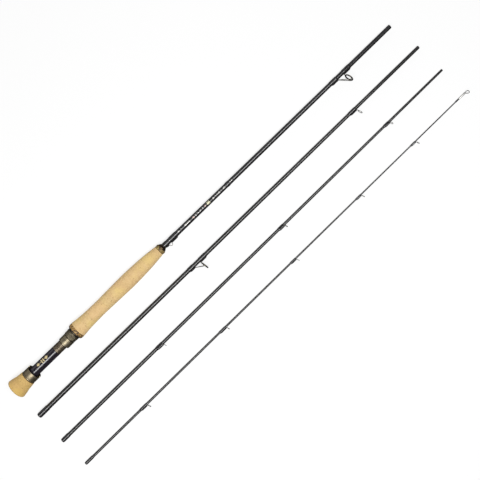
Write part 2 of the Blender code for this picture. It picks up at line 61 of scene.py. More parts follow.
BUTT_MAX_R = 14.2
BUTT_LENGTH = 23.4
BUTT_ROUND = 2.6
BUTT_SHAPE = [(BUTT_ROUND, BUTT_MAX_R), (8.5, 13.15), (14.5, 11.85), (BUTT_LENGTH, 10.8)]
BUTT_RING = 11.7
POCKET = (4.15, 9.3)
SEAT_R = 7.05
SEAT_BORE_R = 5.9
HOOD_R = 10.45
HOOD_INSIDE_R = 9.45
HOOD_MOUTH = 36.9
HOOD_CUT = 34.2
BARREL_END = 76.3
SLEEVE_START = 76.5
SLEEVE_END = 110.8
THREAD_PITCH = 1.5
THREAD_DEPTH = 0.42
SLIDING_HOOD = (89.8, 100.3)
SLIDING_HOOD_R = 8.75
LOCK_NUT = (100.6, 109.6)
GRIP = (117.4, 269.1)
GRIP_SHAPE = [(117.4, 12.05), (131.0, 10.65), (145.0, 10.1), (162.0, 9.95), (192.0, 10.6),
              (212.0, 10.95), (236.0, 10.2), (254.0, 8.95), (269.1, 7.2)]
GRIP_RINGS = 12

STRIPPING = {
    "guide_1": {"section": 1, "ring_at": 617.7, "ring_r": 6.4, "offset": 11.1,
                "lean": 12.5, "tilt": 8.0, "brace": 36.0, "butt_wrap": (592.7, 604.8),
                "tip_wrap": (616.2, 629.1)},
    "guide_2": {"section": 2, "ring_at": 303.1, "ring_r": 6.05, "offset": 10.1,
                "lean": 8.0, "tilt": 0.0, "brace": 84.0, "butt_wrap": (281.8, 291.6),
                "tip_wrap": (302.6, 314.1)},
}
RING_BAND = 1.0
FOOT_THICKNESS = 0.65

# Loop guides: section, wrap stations, wire diameter, loop diameter, reach from the axis.
LOOPS = [
    ("loop_guide_2a", 2, (586.8, 598.6), 0.8, 7.4, 11.2),
    ("loop_guide_3a", 3, (179.3, 190.4), 0.7, 5.0, 7.6),
    ("loop_guide_3b", 3, (411.0, 421.2), 0.7, 4.9, 7.1),
    ("loop_guide_3c", 3, (612.4, 621.5), 0.7, 4.8, 7.0),
    ("loop_guide_4a", 4, (104.3, 115.8), 0.6, 4.9, 6.9),
    ("loop_guide_4b", 4, (254.7, 266.6), 0.6, 4.7, 6.3),
    ("loop_guide_4c", 4, (389.9, 400.1), 0.6, 4.6, 6.1),
    ("loop_guide_4d", 4, (514.5, 524.5), 0.6, 4.6, 6.1),
    ("loop_guide_4e", 4, (619.1, 628.7), 0.6, 4.6, 6.1),
]
LOOP_LEAN = 16.0
FOOT_START = 2.4
KEEPER_WIRE = 0.8
KEEPER_WRAPS = ((278.4, 284.4), (289.6, 302.0))
TRIM_WRAP = (395.8, 401.2)
TIP_WRAP = (704.6, 710.7)
TIP_TUBE = (711.0, 723.6)
TIP_TUBE_R = 1.12
GAP = 0.1
WRAP_THICKNESS = 0.3
THIN_WRAP = 0.25
BORE_GAP = 0.15
SLIDING_GAP = 0.12
MARK_LIFT = 0.05
MARK_SINK = -0.03
TOOL_FEED = 0.18


# --- the sections' frames ---
def node_points(node):
    return [v.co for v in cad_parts[node].data.vertices]


def mean(points):
    return sum(points, Vector()) / len(points)


def end_centre(blank, at_tip):
    """Centre of the ring of points at one end of a blank."""
    points = node_points(blank)
    edge = (max if at_tip else min)(p.y for p in points)
    return mean([p for p in points if abs(p.y - edge) < 0.0002])


def section_frame(blank, side_node):
    """Matrix of a section's own frame, from its blank and a node on the guides' side."""
    butt = end_centre(blank, False)
    along = (end_centre(blank, True) - butt).normalized()
    origin = butt - along * (BLANKS[blank][0][0] * MM)
    side = mean(node_points(side_node)) - origin
    side = (side - along * side.dot(along)).normalized()
    down = along.cross(side)
    turn = Matrix((side, down, along)).transposed().to_4x4()
    return Matrix.Translation(origin) @ turn


SECTIONS = {
    1: section_frame("blank_1", "guide_1_insert"),
    2: section_frame("blank_2", "guide_2_insert"),
    3: section_frame("blank_3", "loop_guide_3a"),
    4: section_frame("blank_4", "loop_guide_4a"),
}
BODIES = {1: "butt_section", 2: "section_2", 3: "section_3", 4: "section_4"}


# --- materials ---
class Nodes:
    """A material and short ways to add nodes to it. Lengths in its textures are in mm."""

    def __init__(self, name):
        self.material = bpy.data.materials.new(name)
        self.material.use_nodes = True
        self.tree = self.material.node_tree
        self.shader = self.tree.nodes["Principled BSDF"]
        place = self.tree.nodes.new("ShaderNodeTexCoord").outputs["Object"]
        self.mm = self.node("ShaderNodeVectorMath", {0: place, "Scale": 1000.0},
                            operation="SCALE")
        self.xyz = self.tree.nodes.new("ShaderNodeSeparateXYZ")
        self.tree.links.new(self.mm, self.xyz.inputs[0])
        self.station = self.xyz.outputs["Z"]

    def node(self, kind, inputs, output=0, **settings):
        made = self.tree.nodes.new(kind)
        for key, value in settings.items():
            setattr(made, key, value)
        for key, value in inputs.items():
            if isinstance(value, bpy.types.NodeSocket):
                self.tree.links.new(value, made.inputs[key])
            else:
                made.inputs[key].default_value = value
        return made.outputs[output]

    def math(self, operation, a, b=0.0, c=0.0):
        return self.node("ShaderNodeMath", {0: a, 1: b, 2: c}, operation=operation)

    def stretched(self, x, y, z):
        return self.node("ShaderNodeVectorMath", {0: self.mm, 1: (x, y, z)},
                         operation="MULTIPLY")

    def noise(self, scale, detail=2.0, vector=None, rough=0.5):
        return self.node("ShaderNodeTexNoise", {"Vector": vector or self.mm,
                         "Scale": scale, "Detail": detail, "Roughness": rough})

    def cells(self, scale, output="Distance", feature="F1"):
        return self.node("ShaderNodeTexVoronoi", {"Vector": self.mm, "Scale": scale},
                         output=output, feature=feature)

    def ramp(self, factor, *stops):
        """Colour ramp of (position, grey or colour) stops."""
        made = self.tree.nodes.new("ShaderNodeValToRGB")
        self.tree.links.new(factor, made.inputs[0])
        points = made.color_ramp.elements
        while len(points) < len(stops):
            points.new(0.5)
        for point, (position, color) in zip(points, stops):
            point.position = position
            grey = isinstance(color, (int, float))
            point.color = (color, color, color, 1.0) if grey else (*color, 1.0)
        return made.outputs[0]

    def mix(self, factor, a, b, blend="MIX"):
        made = self.tree.nodes.new("ShaderNodeMix")
        made.data_type = "RGBA"
        made.blend_type = blend
        for key, value in ((0, factor), (6, a), (7, b)):
            if isinstance(value, bpy.types.NodeSocket):
                self.tree.links.new(value, made.inputs[key])
            else:
                made.inputs[key].default_value = value if key == 0 else (*value, 1.0)
        return made.outputs[2]

    def helix(self, pitch):
        """0 to 1 and back along each turn of a winding of that pitch."""
        turn = self.math("ARCTAN2", self.xyz.outputs["Y"], self.xyz.outputs["X"])
        turns = self.math("MULTIPLY", turn, 1.0 / TAU)
        along = self.math("MULTIPLY_ADD", self.station, 1.0 / pitch, turns)
        return self.math("PINGPONG", along, 0.5)

    def finish(self, color, rough, height=None, strength=0.3, depth=0.1, **constants):
        """Links the shader. height is in units of depth mm; constants stay unlinked."""
        for key, value in (("Base Color", color), ("Roughness", rough)):
            if isinstance(value, bpy.types.NodeSocket):
                self.tree.links.new(value, self.shader.inputs[key])
            else:
                full = (*value, 1.0) if key == "Base Color" else value
                self.shader.inputs[key].default_value = full
        if height is not None:
            bump = self.node("ShaderNodeBump", {"Height": height, "Strength": strength,
                                                "Distance": depth * MM})
            self.tree.links.new(bump, self.shader.inputs["Normal"])
        for key, value in constants.items():
            self.shader.inputs[key.replace("_", " ")].default_value = value
        return self.material


def cork(name, start, pitch, light, dark, tint):
    """Natural cork in glued rings: grain and tint change from ring to ring, with pores."""
    n = Nodes(name)
    place = n.math("MULTIPLY_ADD", n.station, 1.0 / pitch, -start / pitch)
    ring = n.math("FLOOR", place)
    chance = n.node("ShaderNodeTexWhiteNoise", {"W": ring}, noise_dimensions="1D")
    shift = n.node("ShaderNodeCombineXYZ", {"X": n.math("MULTIPLY", ring, 31.7),
                                            "Y": n.math("MULTIPLY", ring, 17.3)})
    own = n.node("ShaderNodeVectorMath", {0: n.mm, 1: shift}, operation="ADD")
    grain = n.noise(0.35, 6.0, own, 0.62)
    color = n.mix(n.ramp(grain, (0.3, 0.0), (0.72, 1.0)), dark, light)
    color = n.mix(n.math("MULTIPLY", chance, 0.45), color, tint)
    speckle = n.ramp(n.noise(2.2, 3.0, own, 0.7), (0.36, 1.0), (0.44, 0.0))
    color = n.mix(n.math("MULTIPLY", speckle, 0.35), color, (0.38, 0.2, 0.08))
    slots = n.node("ShaderNodeVectorMath", {0: own, 1: (0.9, 0.9, 0.42)},
                   operation="MULTIPLY")
    pore = n.ramp(n.noise(0.62, 2.0, slots, 0.55), (0.29, 1.0), (0.335, 0.0))
    color = n.mix(n.math("MULTIPLY", pore, 0.75), color, (0.16, 0.075, 0.03))
    edge = n.math("PINGPONG", place, 0.5)
    joint = n.ramp(edge, (0.0, 1.0), (0.011, 0.0))
    color = n.mix(n.math("MULTIPLY", joint, 0.42), color, (0.25, 0.13, 0.055))
    worn = n.noise(0.06, 3.0)
    color = n.mix(n.ramp(worn, (0.45, 0.0), (0.62, 0.5)), color, dark)
    golden = n.noise(0.045, 2.0, n.stretched(1.0, 1.0, 1.4))
    yellow = (light[0], light[1] * 0.99, light[2] * 0.74)
    color = n.mix(n.ramp(golden, (0.45, 0.0), (0.68, 0.6)), color, yellow)
    height = n.math("SUBTRACT", n.math("MULTIPLY", grain, 0.35),
                    n.math("ADD", n.math("MULTIPLY", pore, 0.9),
                           n.math("MULTIPLY", speckle, 0.3)))
    rough = n.ramp(grain, (0.2, 0.62), (0.8, 0.82))
    return n.finish(color, rough, height, 0.7, 0.16, Specular_IOR_Level=0.25)


def burl(name, middle, light, painted_shade_below=0.0):
    """Composite cork: pressed chips from near-black to tan; below an optional station the colour
    is painted near-black, a painted shade of the gap at the ring's butt end.
    """
    n = Nodes(name)
    chips = n.cells(0.75, output="Color")
    pick = n.node("ShaderNodeSeparateColor", {0: chips})
    fine = n.noise(1.6, 4.0)
    color = n.ramp(pick, (0.0, (0.03, 0.018, 0.01)), (0.3, (0.11, 0.062, 0.026)),
                   (0.55, middle), (0.75, (0.16, 0.09, 0.03)), (1.0, light))
    color = n.mix(n.ramp(fine, (0.35, 0.0), (0.7, 0.25)), color, (0.03, 0.018, 0.01))
    # Painted shade: near-black below the given station, standing in for the shadowed gap between
    # the lock nut and the ring.
    color = n.mix(n.math("LESS_THAN", n.station, painted_shade_below), color, (0.016, 0.012, 0.01))
    seams = n.cells(0.75, feature="DISTANCE_TO_EDGE")
    height = n.math("ADD", n.ramp(seams, (0.0, 0.0), (0.08, 1.0)),
                    n.math("MULTIPLY", fine, 0.4))
    return n.finish(color, n.ramp(fine, (0.3, 0.45), (0.7, 0.7)), height, 0.35, 0.08)


def bronze(name, base, rough):
    """Turned and anodised aluminium: fine tool rings and faint wear."""
    n = Nodes(name)
    rings = n.noise(1.0, 2.0, n.stretched(0.02, 0.02, 1.0 / TOOL_FEED), 0.6)
    patches = n.noise(0.25, 4.0)
    lighter = tuple(min(1.0, c * 1.9) for c in base)
    color = n.mix(n.ramp(patches, (0.35, 0.0), (0.75, 0.35)), base, lighter)
    spread = n.ramp(patches, (0.3, rough), (0.8, rough + 0.14))
    return n.finish(color, spread, rings, 0.22, 0.03, Metallic=1.0)


def barrel_lacquer():
    """Gloss lacquer over a woven tube, near black with a violet cast."""
    n = Nodes("barrel_lacquer")
    turn = n.math("ARCTAN2", n.xyz.outputs["Y"], n.xyz.outputs["X"])
    across = n.math("MULTIPLY", turn, SEAT_R)
    over = n.math("PINGPONG", n.math("ADD", n.station, across), 0.9)
    under = n.math("PINGPONG", n.math("SUBTRACT", n.station, across), 0.9)
    weave = n.math("GREATER_THAN", over, under)
    color = n.mix(weave, (0.009, 0.007, 0.0105), (0.016, 0.012, 0.018))
    haze = n.noise(0.35, 3.0)
    color = n.mix(n.ramp(haze, (0.4, 0.0), (0.8, 0.4)), color, (0.024, 0.014, 0.028))
    return n.finish(color, n.ramp(haze, (0.3, 0.2), (0.8, 0.3)), weave, 0.06, 0.02,
                    Coat_Weight=0.6, Coat_Roughness=0.16)


def graphite(name, base, rough, strength):
    """Carbon blank: the tape's winding shows as a faint helix under the finish."""
    n = Nodes(name)
    tape = n.helix(2.6)
    cloud = n.noise(0.08, 5.0, n.stretched(1.0, 1.0, 0.35))
    lighter = tuple(c * 2.1 for c in base)
    color = n.mix(n.ramp(cloud, (0.35, 0.0), (0.75, 0.5)), base, lighter)
    color = n.mix(n.ramp(tape, (0.38, 0.0), (0.5, 0.5)), color, lighter)
    fine = n.noise(1.4, 2.0)
    height = n.math("ADD", tape, n.math("MULTIPLY", fine, 0.12))
    return n.finish(color, n.ramp(cloud, (0.3, rough), (0.75, rough + 0.1)), height,
                    strength, 0.05, Coat_Weight=0.6, Coat_Roughness=0.12)


def thread_wrap(name, base, tint):
    """Thread wound side by side under clear epoxy."""
    n = Nodes(name)
    thread = n.helix(0.26)
    cloud = n.noise(0.5, 3.0)
    color = n.mix(n.ramp(thread, (0.1, 0.0), (0.5, 0.7)), base, tint)
    color = n.mix(n.ramp(cloud, (0.45, 0.0), (0.8, 0.4)), color, tint)
    return n.finish(color, n.ramp(cloud, (0.3, 0.28), (0.8, 0.38)), thread, 0.12, 0.03,
                    Coat_Weight=0.7, Coat_Roughness=0.05)


def plated(name, base, rough):
    """Plated or polished steel wire with faint drawing lines."""
    n = Nodes(name)
    lines = n.noise(3.0, 3.0)
    patches = n.noise(0.6, 2.0)
    darker = tuple(c * 0.6 for c in base)
    color = n.mix(n.ramp(patches, (0.4, 0.0), (0.75, 0.5)), base, darker)
    return n.finish(color, n.ramp(patches, (0.3, rough), (0.8, rough + 0.12)), lines,
                    0.1, 0.02, Metallic=1.0)


def polished_ceramic():
    n = Nodes("guide_ring_ceramic")
    cloud = n.noise(0.8, 3.0)
    color = n.mix(cloud, (0.03, 0.03, 0.034), (0.075, 0.075, 0.08))
    return n.finish(color, n.ramp(cloud, (0.3, 0.1), (0.8, 0.2)), cloud, 0.05, 0.02,
                    Coat_Weight=0.8, Coat_Roughness=0.03)


def foil(name, base):
    """Metal-foil marking under clear finish, slightly worn."""
    n = Nodes(name)
    wear = n.noise(1.8, 4.0)
    darker = tuple(c * 0.45 for c in base)
    color = n.mix(n.ramp(wear, (0.35, 0.9), (0.6, 0.0)), base, darker)
    return n.finish(color, n.ramp(wear, (0.3, 0.42), (0.8, 0.3)), wear, 0.08, 0.02,
                    Metallic=0.35, Coat_Weight=0.5, Coat_Roughness=0.1)


def foam():
    n = Nodes("arbor_foam")
    bubbles = n.cells(2.2)
    color = n.mix(bubbles, (0.3, 0.27, 0.22), (0.55, 0.52, 0.44))
    return n.finish(color, 0.9, bubbles, 0.5, 0.1)


GRIP_CORK = cork("grip_cork", GRIP[0], (GRIP[1] - GRIP[0]) / GRIP_RINGS,
                 (0.74, 0.56, 0.28), (0.60, 0.41, 0.185), (0.76, 0.49, 0.25))
BUTT_CORK = cork("butt_cork", 0.0, BUTT_RING, (0.66, 0.46, 0.17),
                 (0.5, 0.325, 0.11), (0.68, 0.41, 0.17))
# Stations below 112.9 on this ring are painted near-black, a painted shade of the gap at the
# lock nut.
BURL_BUTT = burl("burl_cork_butt", (0.5, 0.28, 0.07), (0.62, 0.4, 0.13), 112.9)
BURL_TIP = burl("burl_cork_tip", (0.4, 0.3, 0.09), (0.58, 0.46, 0.15))
HOOD_METAL = bronze("bronze_hood", (0.27, 0.225, 0.15), 0.44)
SLIDING_METAL = bronze("bronze_sliding", (0.29, 0.25, 0.17), 0.42)
NUT_METAL = bronze("bronze_nut", (0.15, 0.13, 0.09), 0.5)
SLEEVE_METAL = bronze("bronze_sleeve", (0.24, 0.2, 0.145), 0.42)
CHECK_METAL = bronze("bronze_check", (0.1, 0.07, 0.045), 0.38)
BARREL = barrel_lacquer()
BLANK_BUTT = graphite("blank_gloss_butt", (0.009, 0.0085, 0.0095), 0.26, 0.1)
BLANK = graphite("blank_gloss", (0.011, 0.0105, 0.01), 0.28, 0.2)
WRAP = thread_wrap("wrap_black", (0.006, 0.006, 0.0065), (0.02, 0.018, 0.019))
CHROME = plated("wire_chrome", (0.24, 0.23, 0.2), 0.24)
LOOP_METAL = plated("tip_loop_steel", (0.05, 0.048, 0.04), 0.35)
TUBE_METAL = plated("tip_tube_steel", (0.7, 0.69, 0.66), 0.32)
FRAME_METAL = plated("guide_frame_plated", (0.12, 0.11, 0.08), 0.3)
CERAMIC = polished_ceramic()
GOLD_FOIL = foil("foil_gold", (0.95, 0.78, 0.42))
PALE_GOLD_FOIL = foil("foil_pale_gold", (0.62, 0.6, 0.4))
PEARL_FOIL = foil("foil_pearl", (0.5, 0.49, 0.46))
COPPER_FOIL = foil("foil_copper", (0.5, 0.38, 0.33))
FOAM = foam()


# --- outlines ---
def spline(p0, p1, p2, p3, t):
    """Catmull-Rom point between p1 and p2."""
    return 0.5 * (2 * p1 + (p2 - p0) * t + (2 * p0 - 5 * p1 + 4 * p2 - p3) * t ** 2
                  + (3 * p1 - p0 - 3 * p2 + p3) * t ** 3)


def smooth_through(points, per_span):
    """Smooth curve through (station, radius) points, as (radius, station)."""
    padded = [Vector(p) for p in [points[0], *points, points[-1]]]
    made = [spline(*padded[i - 1:i + 3], step / per_span)
            for i in range(1, len(padded) - 2) for step in range(per_span)]
    made.append(padded[-1])
    return [(point[1], point[0]) for point in made]


def rounded(outline, radius, steps=3):
    """Closed outline with its corners off the axis rounded by up to that radius."""
    points = [Vector(p) for p in outline]
    made = []
    for i, corner in enumerate(points):
        before, after = points[i - 1], points[(i + 1) % len(points)]
        cut = min(radius, (before - corner).length * 0.45, (after - corner).length * 0.45)
        if corner.x == 0.0 or cut < 0.01:
            made.append(tuple(corner))
            continue
        a = corner + (before - corner).normalized() * cut
        b = corner + (after - corner).normalized() * cut
        for step in range(steps + 1):
            t = step / steps
            bend = a * (1 - t) ** 2 + corner * 2 * t * (1 - t) + b * t ** 2
            made.append(tuple(bend))
    return made


def resampled(outline, step):
    """Open outline with points added so that no edge is longer than step."""
    made = [outline[0]]
    for a, b in zip(outline, outline[1:]):
        count = max(1, math.ceil(math.dist(a, b) / step))
        for k in range(1, count + 1):
            t = k / count
            made.append((a[0] + (b[0] - a[0]) * t, a[1] + (b[1] - a[1]) * t))
    return made


def blank_radius(blank, station):
    """Outer radius of a blank at a station."""
    shape = BLANKS[blank]
    for (s0, r0), (s1, r1) in zip(shape, shape[1:]):
        if station <= s1:
            return r0 + (r1 - r0) * (station - s0) / (s1 - s0)
    return shape[-1][1]


def ease(t):
    """Smooth step from 0 to 1."""
    t = min(1.0, max(0.0, t))
    return t * t * (3 - 2 * t)


# --- meshes ---
def circle(radius, station, steps, shift=0.0):
    """Points of a circle about the axis, or set off from it along x."""
    return [Vector((shift + radius * math.cos(TAU * i / steps),
                    radius * math.sin(TAU * i / steps), station)) for i in range(steps)]


def turned(outline, steps, shape=None):
    """Rings of points about the axis, one for each (radius, station) of an outline."""
    rings = []
    for radius, station in outline:
        if radius == 0.0:
            rings.append([Vector((0.0, 0.0, station))])
            continue
        ring = []
        for i in range(steps):
            angle = TAU * i / steps
            here = shape(radius, station, angle) if shape else radius
            ring.append(Vector((here * math.cos(angle), here * math.sin(angle), station)))
        rings.append(ring)
    return rings


def skin(build, rings, closed=True):
    """Faces between rings of points; a ring of one point is a pole."""
    made = [[build.verts.new(p * MM) for p in ring] for ring in rings]
    pairs = zip(made, made[1:] + made[:1]) if closed else zip(made, made[1:])
    for a, b in pairs:
        if len(a) == 1 and len(b) == 1:
            continue
        count = max(len(a), len(b))
        for i in range(count):
            j = (i + 1) % count
            corners = [a[i], a[j]] if len(a) > 1 else [a[0]]
            corners += [b[j], b[i]] if len(b) > 1 else [b[0]]
            build.faces.new(corners)


def swept(build, path, radius, sides=12, flat=1.0, side_axis=None):
    """Round or flattened bar along a path, with domed ends."""
    radii = radius if isinstance(radius, (list, tuple)) else [radius] * len(path)
    tangents = []
    for i in range(len(path)):
        a, b = path[max(0, i - 1)], path[min(len(path) - 1, i + 1)]
        tangents.append((b - a).normalized())
    normal = side_axis or tangents[0].orthogonal()
    rings = []
    for i, (point, tangent) in enumerate(zip(path, tangents)):
        normal = (normal - tangent * normal.dot(tangent)).normalized()
        other = tangent.cross(normal)
        shapes = [(0.0, 1.0)]
        if i == 0:
            shapes = [(-0.85, 0.5), (-0.45, 0.88), (0.0, 1.0)]
        if i == len(path) - 1:
            shapes = [(0.0, 1.0), (0.45, 0.88), (0.85, 0.5)]
        for ahead, size in shapes:
            ring = []
            for k in range(sides):
                angle = TAU * k / sides
                across = normal * math.cos(angle) + other * (math.sin(angle) * flat)
                ring.append(point + tangent * (ahead * radii[i] * min(1.0, flat))
                            + across * (radii[i] * size))
            rings.append(ring)
    rings.insert(0, [path[0] - tangents[0] * radii[0] * min(1.0, flat)])
    rings.append([path[-1] + tangents[-1] * radii[-1] * min(1.0, flat)])
    skin(build, rings, closed=False)


def curve_through(points, per_span):
    """Smooth path through 3-D points."""
    points = [Vector(p) for p in points]
    padded = [points[0] * 2 - points[1]] + points + [points[-1] * 2 - points[-2]]
    path = [spline(*padded[i - 1:i + 3], step / per_span)
            for i in range(1, len(padded) - 2) for step in range(per_span)]
    return path + [points[-1]]


def piece(name, build, section, mat, slot, replaces=(), body=None, sharp=38.0):
    """Object from a mesh in a section's frame, riding on its body."""
    bmesh.ops.recalc_face_normals(build, faces=build.faces)
    mesh = bpy.data.meshes.new(name)
    build.to_mesh(mesh)
    build.free()
    mesh.shade_smooth()
    mesh.set_sharp_from_angle(angle=math.radians(sharp))
    mesh.materials.append(mat)
    made = bpy.data.objects.new(name, mesh)
    bpy.context.scene.collection.objects.link(made)
    made.matrix_world = SECTIONS[section]
    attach(made, body or BODIES[section])
    if replaces:
        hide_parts(*replaces)
    return made


def turned_piece(name, outline, steps, section, mat, slot, shape=None, **options):
    """Body of revolution that stands for the CAD node it is named after."""
    build = bmesh.new()
    skin(build, turned(outline, steps, shape))
    options.setdefault("replaces", (name.removesuffix("_look"),))
    return piece(name, build, section, mat, slot, **options)


# --- blanks ---
def make_blank(number):
    """Tapered tube with its cut ends eased, open at the ends that are hollow."""
    name = f"blank_{number}"
    shape = BLANKS[name]
    wall = BLANK_WALL[name]
    length = shape[-1][0]
    outer = resampled([(radius, station) for station, radius in reversed(shape)], 12.0)
    edge = 0.12
    outer[0] = (outer[0][0] - edge, length)
    outer.insert(1, (shape[-1][1], length - edge))
    outer[-1] = (shape[0][1], shape[0][0] + edge)
    outer.append((shape[0][1] - edge, shape[0][0]))
    if number == 4:
        inner = [(shape[0][1] - wall, 0.0), (0.7, TIP_BORE_END), (0.0, TIP_BORE_END)]
        outline = [(0.0, length)] + outer + inner
    else:
        outline = outer + [(radius - wall, station) for station, radius in shape]
    turned_piece(name + "_look", outline, 40, number,
                 BLANK_BUTT if number == 1 else BLANK, "graphite")


# --- handle ---
def cork_skin(ring_length, start, fade):
    """Shape function that gives turned cork its lumps, pores and ring joints."""
    def shape(radius, station, angle):
        ring = math.floor((station - start) / ring_length)
        at = Vector((radius * math.cos(angle), radius * math.sin(angle), station))
        own = at + Vector((ring * 31.7, ring * 17.3, 0.0))
        lump = noise.noise(own * 0.11) * 0.1 + noise.noise(own * 0.8) * 0.035
        pore = noise.noise(Vector((own.x * 0.62, own.y * 0.62, own.z * 0.34)) * 1.5)
        pit = 0.26 * ease((pore - 0.42) / 0.16)
        into = (station - start) / ring_length - ring
        joint = 0.05 * ease(1.0 - min(into, 1.0 - into) * ring_length / 0.35)
        return radius + (lump - pit - joint) * fade(radius, station)
    return shape


def make_cork():
    shape = smooth_through(GRIP_SHAPE, 12)
    outer = [(radius, station) for radius, station in reversed(shape)]
    start, end = GRIP
    bore = blank_radius("blank_1", start) + BORE_GAP
    outer = resampled(outer, 0.55)

    def fade(radius, station):
        near = min(station - start, end - station)
        return ease(near / 0.8) if radius > bore + 0.5 else 0.0
    outline = [(outer[0][0] - 0.25, end)] + outer[1:-1] + [(outer[-1][0] - 0.25, start)]
    outline += [(bore, start), (bore, end)]
    turned_piece("cork_grip_look", outline, 144, 1, GRIP_CORK, "cork",
                 cork_skin((end - start) / GRIP_RINGS, start, fade))

    corner = [(BUTT_MAX_R - BUTT_ROUND + BUTT_ROUND * math.cos(a),
               BUTT_ROUND + BUTT_ROUND * math.sin(a))
              for a in (math.radians(-90.0 * i / 14) for i in range(15))]
    flare = [(radius, station) for radius, station in
             reversed(smooth_through(BUTT_SHAPE, 10))]
    face = [(r, 0.0) for r in (11.0, 9.5, 8.0, 6.5, 5.0, 3.5, 2.0, 0.8)]
    outer = resampled(flare[:-1] + corner, 0.5)
    outline = [(0.0, POCKET[1]), (POCKET[0], POCKET[1]), (POCKET[0], BUTT_LENGTH),
               (outer[0][0] - 0.2, BUTT_LENGTH)] + outer[1:] + face + [(0.0, 0.0)]

    def butt_fade(radius, station):
        if radius < POCKET[0] + 0.1 and station > 1.0:
            return 0.0
        return ease((BUTT_LENGTH - station) / 0.8) * ease(station / 1.5)
    turned_piece("fighting_butt_look", outline, 128, 1, BUTT_CORK, "cork",
                 cork_skin(BUTT_RING, 0.0, butt_fade))


def make_end_rings():
    """Burl cork rings at both ends of the grip, and the winding check."""
    bore = blank_radius("blank_1", 117.0) + BORE_GAP
    butt_ring = [(11.6, 117.2), (12.0, 116.2), (12.05, 114.4), (11.75, 112.2),
                 (11.1, 111.2), (bore, 111.2), (bore, 117.2)]
    turned_piece("grip_ring_butt_look", rounded(butt_ring, 0.6, 4), 96, 1, BURL_BUTT,
                 "burl_cork")
    tip_ring = [(7.1, 273.8), (7.4, 273.2), (7.4, 270.2), (7.15, 269.4), (bore, 269.4),
                (bore, 273.8)]
    turned_piece("grip_ring_tip_look", rounded(tip_ring, 0.4, 3), 80, 1, BURL_TIP,
                 "burl_cork")
    check_bore = blank_radius("blank_1", 274.0) + BORE_GAP
    check = [(4.05, 278.1), (4.35, 277.6), (5.9, 275.3), (6.35, 274.9), (6.4, 274.0),
             (check_bore, 274.0), (check_bore, 278.1)]
    turned_piece("winding_check_look", rounded(check, 0.2, 3), 80, 1, CHECK_METAL,
                 "bronze_anodised")


# --- reel seat ---
def make_fixed_hood():
    """Cup with a turned bead and groove near its base and its mouth cut back on top."""
    base = BUTT_LENGTH + 0.2
    outline = [(HOOD_INSIDE_R, HOOD_MOUTH), (HOOD_R - 0.55, HOOD_MOUTH),
               (HOOD_R - 0.12, HOOD_MOUTH - 0.5), (HOOD_R, HOOD_MOUTH - 1.3),
               (HOOD_R, base + 2.3), (HOOD_R - 0.28, base + 2.1),
               (HOOD_R - 0.28, base + 1.7), (HOOD_R, base + 1.5), (HOOD_R, base + 0.6),
               (HOOD_R - 0.5, base), (SEAT_R + GAP, base), (SEAT_R + GAP, base + 2.2),
               (HOOD_INSIDE_R, base + 2.2)]
    build = bmesh.new()
    skin(build, turned(rounded(outline, 0.16, 2), 128))
    hood = piece("fixed_hood_look", build, 1, HOOD_METAL, "bronze_anodised",
                 ("fixed_hood",))
    cut = bmesh.new()
    reach = HOOD_R + 2.0
    corner = 1.6
    side = [(-reach, HOOD_CUT), (-1.5 - corner, HOOD_CUT)]
    side += [(-1.5 - corner + corner * math.sin(a), HOOD_CUT + corner - corner * math.cos(a))
             for a in (math.radians(15.0 * i) for i in range(1, 7))]
    side += [(-1.5, HOOD_MOUTH + 2.0), (-reach, HOOD_MOUTH + 2.0)]
    caps = [[cut.verts.new(Vector((x, y, z)) * MM) for y, z in side]
            for x in (-reach, reach)]
    for i in range(len(side)):
        j = (i + 1) % len(side)
        cut.faces.new((caps[0][i], caps[0][j], caps[1][j], caps[1][i]))
    cut.faces.new(caps[0])
    cut.faces.new(caps[1])
    bmesh.ops.recalc_face_normals(cut, faces=cut.faces)
    tool_mesh = bpy.data.meshes.new("hood_cut")
    cut.to_mesh(tool_mesh)
    cut.free()
    tool = bpy.data.objects.new("hood_cut", tool_mesh)
    bpy.context.scene.collection.objects.link(tool)
    tool.matrix_world = SECTIONS[1]
    bpy.context.view_layer.update()
    carve = hood.modifiers.new("cut", "BOOLEAN")
    carve.operation = "DIFFERENCE"
    carve.solver = "EXACT"
    carve.object = tool
    ease_edges = hood.modifiers.new("ease", "BEVEL")
    ease_edges.width = 0.14 * MM
    ease_edges.segments = 2
    ease_edges.limit_method = "ANGLE"
    ease_edges.angle_limit = math.radians(50.0)
    bpy.context.view_layer.update()
    shown = hood.evaluated_get(bpy.context.evaluated_depsgraph_get())
    carved = bpy.data.meshes.new_from_object(shown)
    hood.modifiers.clear()
    hood.data = carved
    bpy.data.objects.remove(tool)


def make_seat_tubes():
    """Lacquered barrel, and the sleeve with its cut thread."""
    start = BUTT_LENGTH + 0.2
    outline = rounded([(SEAT_R, BARREL_END), (SEAT_R, start), (SEAT_BORE_R, start),
                       (SEAT_BORE_R, BARREL_END)], 0.25, 3)
    turned_piece("seat_barrel_look", outline, 96, 1, BARREL, "seat_barrel")

    def thread(radius, station, angle):
        if radius < SEAT_R - 0.05:
            return radius
        along = station / THREAD_PITCH - angle / TAU
        tooth = abs((along % 1.0) * 2.0 - 1.0)
        near = min(station - SLEEVE_START - 0.9, SLEEVE_END - 0.6 - station)
        deep = THREAD_DEPTH * ease(near / 0.8)
        return radius - deep * ease((tooth - 0.15) / 0.7)
    samples = int((SLEEVE_END - SLEEVE_START - 0.6) / (THREAD_PITCH / 10))
    wall = [(SEAT_R, SLEEVE_END - 0.3 - i * THREAD_PITCH / 10) for i in range(samples)]
    outline = [(SEAT_R - 0.3, SLEEVE_END)] + wall
    outline += [(SEAT_R, SLEEVE_START + 0.3), (SEAT_R - 0.3, SLEEVE_START),
                (SEAT_BORE_R, SLEEVE_START), (SEAT_BORE_R, SLEEVE_END)]
    turned_piece("threaded_sleeve_look", outline, 72, 1, SLEEVE_METAL,
                 "bronze_anodised", thread, sharp=60.0)


